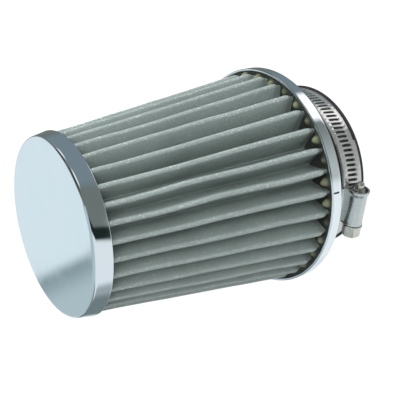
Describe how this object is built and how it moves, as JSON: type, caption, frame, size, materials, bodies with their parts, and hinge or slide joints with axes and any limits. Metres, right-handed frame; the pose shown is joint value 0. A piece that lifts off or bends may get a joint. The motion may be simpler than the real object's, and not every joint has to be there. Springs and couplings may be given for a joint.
{
  "type": "cone air filter",
  "caption": "Tapered clamp-on engine air filter: pleated wire-mesh element between a chrome end cap and a chrome base ring, with a rubber neck and a worm-drive hose clamp.",
  "frame": {"origin": "centre of the neck's mouth, on the plane that the neck's end rests on", "axes": "+Z along the filter's axis from the open neck to the closed cap; +X towards the clamp's screw housing"},
  "size_m": [0.111, 0.111, 0.15],
  "materials": {
    "chrome": "mirror chrome plate",
    "potting": "set polyurethane",
    "wire_mesh": "fine woven wire",
    "gauze": "layered cotton gauze",
    "rubber": "moulded, satin",
    "stainless": "rolled strip",
    "zinc_screw": "zinc plate"
  },
  "bodies": {
    "filter": {"end_cap": "chrome", "base_ring": "chrome", "cap_potting": "potting", "base_potting": "potting", "outer_mesh": "wire_mesh", "inner_mesh": "wire_mesh", "filter_media": "gauze", "rubber_neck": "rubber", "clamp_band": "stainless", "clamp_housing": "stainless"},
    "worm_screw": {"clamp_screw": "zinc_screw"}
  },
  "joints": [
    {"name": "clamp_screw_turn", "type": "hinge", "parent": "filter", "child": "worm_screw", "pos_m": [0.0463, 0, 0.0079], "axis": [0, 1, 0], "range_deg": [-930, 930]}
  ]
}
